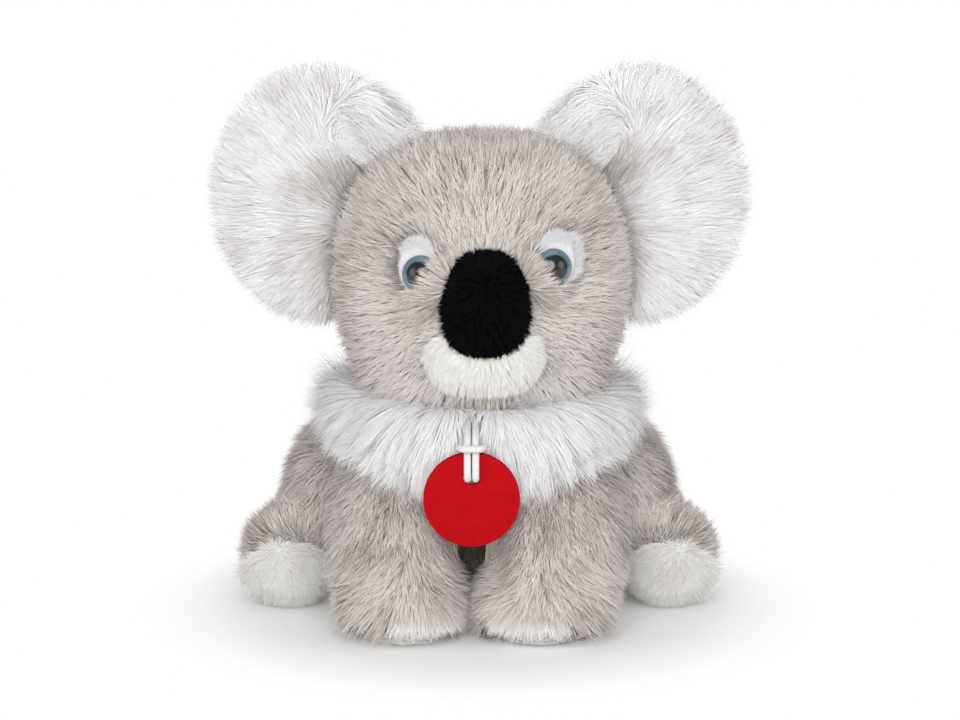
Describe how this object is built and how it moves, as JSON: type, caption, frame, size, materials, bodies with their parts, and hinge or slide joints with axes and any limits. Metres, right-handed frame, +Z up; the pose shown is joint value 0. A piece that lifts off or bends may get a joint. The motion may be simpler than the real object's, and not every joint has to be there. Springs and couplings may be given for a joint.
{
  "type": "plush koala",
  "caption": "Sitting plush koala with grey pile, big white-lined ears, a black plush nose, blue-ringed eyes, a white bib and a round red tag on a cord.",
  "frame": {"origin": "on the flat under the seat, straight below the neck's axis, on the surface the toy sits on", "axes": "+Z up, the face towards -Y, the toy's right paw at -X"},
  "size_m": [0.2256, 0.154, 0.236],
  "materials": {
    "grey_plush": "long soft pile",
    "white_plush": "long soft pile",
    "short_white_plush": "short dense pile",
    "black_plush": "short dense pile",
    "white_felt": "smooth felt",
    "filling": "loose polyester fibre",
    "eye_plastic": "glossy",
    "washer_plastic": "matte",
    "red_felt": "felt",
    "white_cord": "braided"
  },
  "bodies": {
    "torso": {"torso_cover": "grey_plush", "torso_filling": "filling", "bib": "white_plush"},
    "head": {"head_cover": "grey_plush", "head_filling": "filling", "nose": "black_plush", "muzzle": "short_white_plush", "eye_left": "eye_plastic", "eye_right": "eye_plastic", "eye_felt_left": "white_felt", "eye_felt_right": "white_felt", "eye_washer_left": "washer_plastic", "eye_washer_right": "washer_plastic"},
    "ear_left": {"ear_lining_left": "white_plush", "ear_back_left": "grey_plush"},
    "foreleg_left": {"foreleg_cover_left": "grey_plush", "foreleg_filling_left": "filling", "forepaw_sole_left": "short_white_plush"},
    "hindleg_left": {"hindleg_cover_left": "grey_plush", "hindleg_filling_left": "filling", "hindfoot_sole_left": "short_white_plush"},
    "ear_right": {"ear_lining_right": "white_plush", "ear_back_right": "grey_plush"},
    "foreleg_right": {"foreleg_cover_right": "grey_plush", "foreleg_filling_right": "filling", "forepaw_sole_right": "short_white_plush"},
    "hindleg_right": {"hindleg_cover_right": "grey_plush", "hindleg_filling_right": "filling", "hindfoot_sole_right": "short_white_plush"},
    "tag": {"tag": "red_felt", "tag_cord": "white_cord"}
  },
  "joints": [
    {"name": "neck_turn", "type": "hinge", "parent": "torso", "child": "head", "pos_m": [0, 0, 0.098], "axis": [0, 0, 1], "range_deg": [-20, 20], "stiffness_Nm_per_rad": 0.2},
    {"name": "ear_left_fold", "type": "hinge", "parent": "head", "child": "ear_left", "pos_m": [-0.0545, 0.0055, 0.1685], "axis": [0.3525, 0, 0.9358], "range_deg": [-15, 15], "stiffness_Nm_per_rad": 0.05},
    {"name": "ear_right_fold", "type": "hinge", "parent": "head", "child": "ear_right", "pos_m": [0.0545, 0.0055, 0.1685], "axis": [-0.3525, 0, 0.9358], "range_deg": [-15, 15], "stiffness_Nm_per_rad": 0.05},
    {"name": "foreleg_left_splay", "type": "hinge", "parent": "torso", "child": "foreleg_left", "pos_m": [-0.012, 0, 0.078], "axis": [0, 1, 0], "range_deg": [0, 10], "stiffness_Nm_per_rad": 0.1},
    {"name": "hindleg_left_lift", "type": "hinge", "parent": "torso", "child": "hindleg_left", "pos_m": [-0.06, 0.026, 0.0415], "axis": [-1, 0, 0], "range_deg": [0, 12], "stiffness_Nm_per_rad": 0.1},
    {"name": "foreleg_right_splay", "type": "hinge", "parent": "torso", "child": "foreleg_right", "pos_m": [0.012, 0, 0.078], "axis": [0, -1, 0], "range_deg": [0, 10], "stiffness_Nm_per_rad": 0.1},
    {"name": "hindleg_right_lift", "type": "hinge", "parent": "torso", "child": "hindleg_right", "pos_m": [0.06, 0.026, 0.0415], "axis": [-1, 0, 0], "range_deg": [0, 12], "stiffness_Nm_per_rad": 0.1},
    {"name": "tag_swing", "type": "hinge", "parent": "torso", "child": "tag", "pos_m": [-0.0031, -0.0735, 0.0946], "axis": [0, 1, 0], "range_deg": [-25, 25]}
  ]
}
